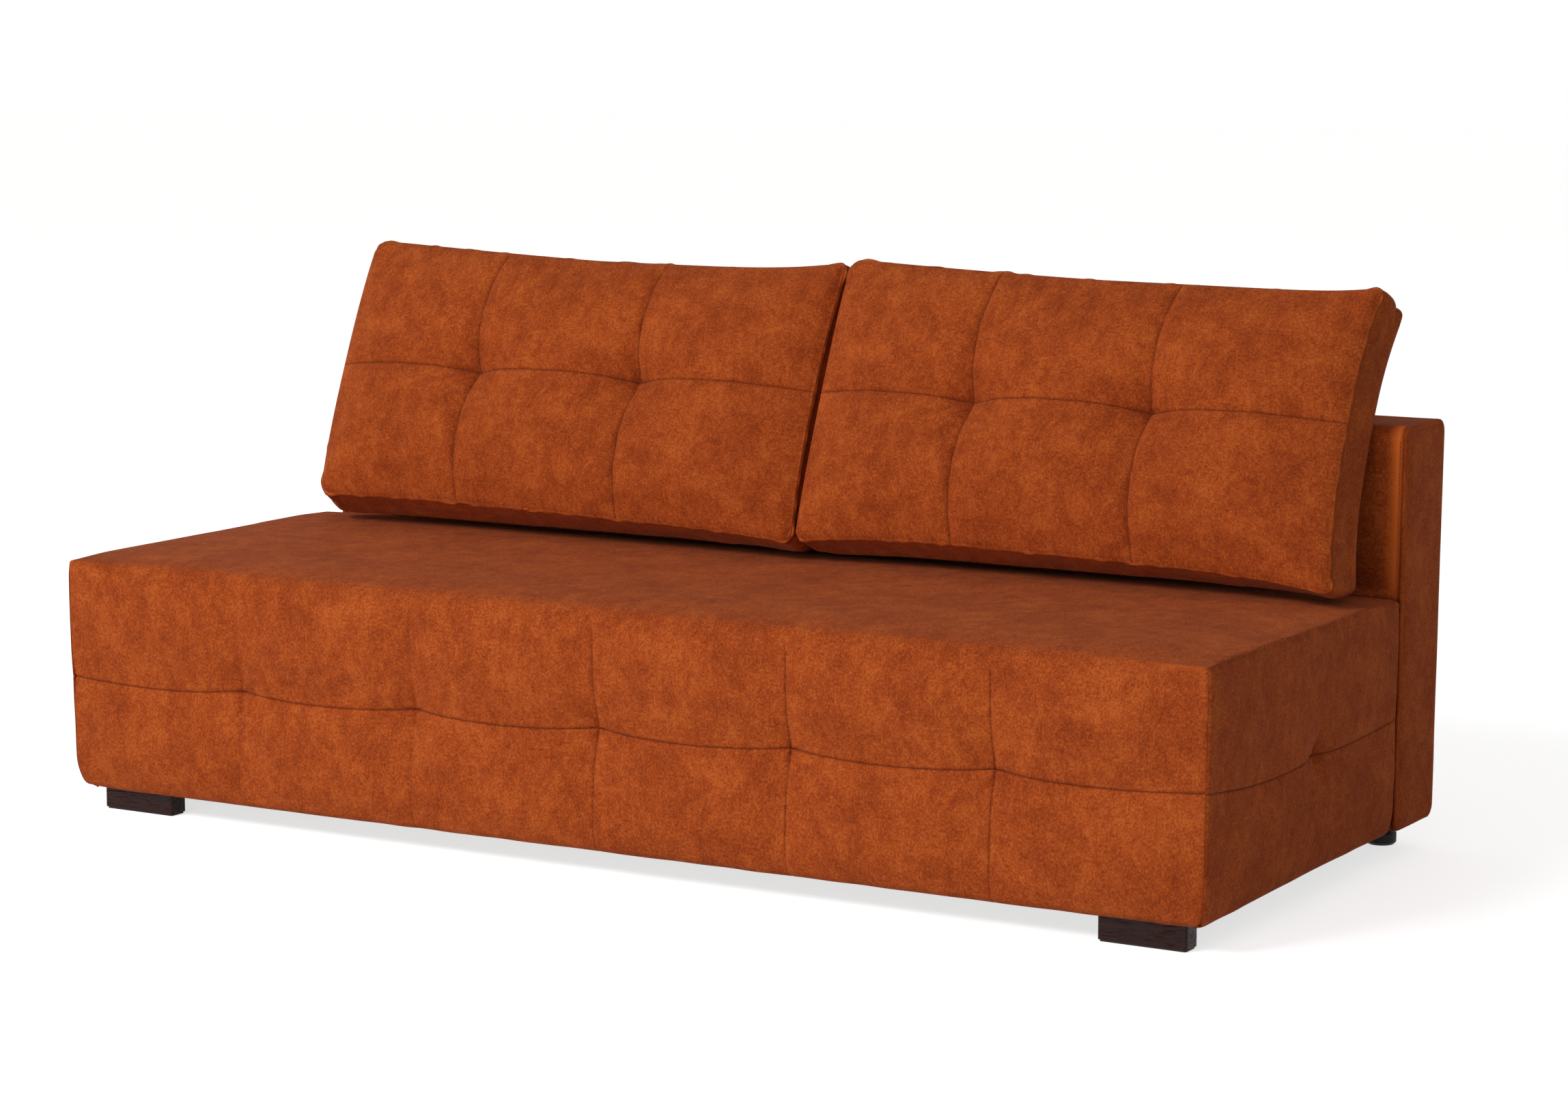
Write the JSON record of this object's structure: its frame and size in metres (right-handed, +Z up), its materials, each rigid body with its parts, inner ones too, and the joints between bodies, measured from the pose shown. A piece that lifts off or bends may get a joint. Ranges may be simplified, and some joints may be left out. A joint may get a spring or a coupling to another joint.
{
  "type": "armless sofa bed",
  "caption": "Armless sofa bed: a quilted seat unit rolls forward on a steel base and a plain back panel folds down behind it; loose cushions lift off.",
  "frame": {"origin": "on the floor, under the middle of the closed sofa's length and depth", "axes": "+X along the sofa's length, the front faces -Y, +Z up"},
  "size_m": [2, 0.858, 0.8815],
  "materials": {
    "tube_steel": "black powder coat",
    "plate_steel": "zinc plated flat steel",
    "zinc_steel": "bright zinc",
    "black_plastic": "moulded, fine grain",
    "black_rubber": "matt",
    "chipboard": "raw chipboard",
    "pine": "planed pine",
    "birch_slat": "birch plywood",
    "foam": "open cell foam",
    "rust_velour": "short nap velour with a cloudy, leather-like mottling",
    "dark_wood": "dark wenge stain, satin",
    "felt": "pressed felt",
    "white_nylon": "moulded nylon",
    "webbing": "elastic webbing"
  },
  "bodies": {
    "base": {"runner_left": "tube_steel", "runner_right": "tube_steel", "cross_tube_front": "tube_steel", "cross_tube_middle": "tube_steel", "cross_tube_rear": "tube_steel", "tube_caps": "black_plastic", "base_feet": "black_plastic", "box_floor": "chipboard", "box_end_left": "chipboard", "box_end_right": "chipboard", "box_front_wall": "chipboard", "box_rear_wall": "chipboard", "box_screws": "zinc_steel", "rest_buffers": "black_rubber", "pivot_plate_left": "plate_steel", "pivot_plate_right": "plate_steel", "base_pivot_bolts": "zinc_steel"},
    "levers": {"lever_left": "plate_steel", "lever_right": "plate_steel", "lever_washers": "white_nylon"},
    "seat": {"seat_rail_front": "pine", "seat_rail_rear": "pine", "seat_rail_left": "pine", "seat_rail_right": "pine", "seat_cross_rails": "pine", "seat_slats": "birch_slat", "seat_foam": "foam", "seat_top_pad": "rust_velour", "front_board": "chipboard", "side_board_left": "chipboard", "side_board_right": "chipboard", "seat_rear_panel": "chipboard", "front_pad": "rust_velour", "side_pad_left": "rust_velour", "side_pad_right": "rust_velour", "corner_blocks": "pine", "front_foot_left": "dark_wood", "front_foot_right": "dark_wood", "foot_glides": "felt", "foot_screws": "zinc_steel", "roller_bracket_left": "plate_steel", "roller_bracket_right": "plate_steel", "roller_axles": "zinc_steel"},
    "back": {"back_rail_top": "pine", "back_rail_bottom": "pine", "back_end_posts": "pine", "back_hinge_posts": "pine", "back_studs": "pine", "back_webbing": "webbing", "back_foam": "foam", "back_cover": "rust_velour", "back_board": "chipboard", "hinge_plates": "plate_steel", "back_pivot_bolts": "zinc_steel"},
    "roller_left": {"roller_left": "white_nylon"},
    "roller_right": {"roller_right": "white_nylon"},
    "cushion_left": {"cushion_left": "rust_velour"},
    "cushion_right": {"cushion_right": "rust_velour"}
  },
  "joints": [
    {"name": "seat_slide", "type": "slide", "parent": "base", "child": "seat", "axis": [0, -1, 0], "range_m": [0, 0.453]},
    {"name": "lever_swing", "type": "hinge", "parent": "base", "child": "levers", "pos_m": [0, 0.02887, 0.103], "axis": [1, 0, 0], "range_deg": [0, 128.55]},
    {"name": "back_pivot", "type": "hinge", "parent": "levers", "child": "back", "pos_m": [0, 0.329, 0.085], "axis": [1, 0, 0], "range_deg": [-218.55, 0]},
    {"name": "roller_left_spin", "type": "hinge", "parent": "seat", "child": "roller_left", "pos_m": [-0.928, 0.211, 0.0623], "axis": [1, 0, 0], "continuous": true},
    {"name": "roller_right_spin", "type": "hinge", "parent": "seat", "child": "roller_right", "pos_m": [0.928, 0.211, 0.0623], "axis": [1, 0, 0], "continuous": true},
    {"name": "cushion_left_lift", "type": "slide", "parent": "seat", "child": "cushion_left", "axis": [0, 0, 1], "range_m": [0, 0.3]},
    {"name": "cushion_right_lift", "type": "slide", "parent": "seat", "child": "cushion_right", "axis": [0, 0, 1], "range_m": [0, 0.3]}
  ],
  "couplings": [
    {"joint": "lever_swing", "follows": "seat_slide", "rad_per_m": 4.952},
    {"joint": "back_pivot", "follows": "seat_slide", "rad_per_m": -8.4195},
    {"joint": "roller_left_spin", "follows": "seat_slide", "rad_per_m": 50},
    {"joint": "roller_right_spin", "follows": "seat_slide", "rad_per_m": 50}
  ]
}
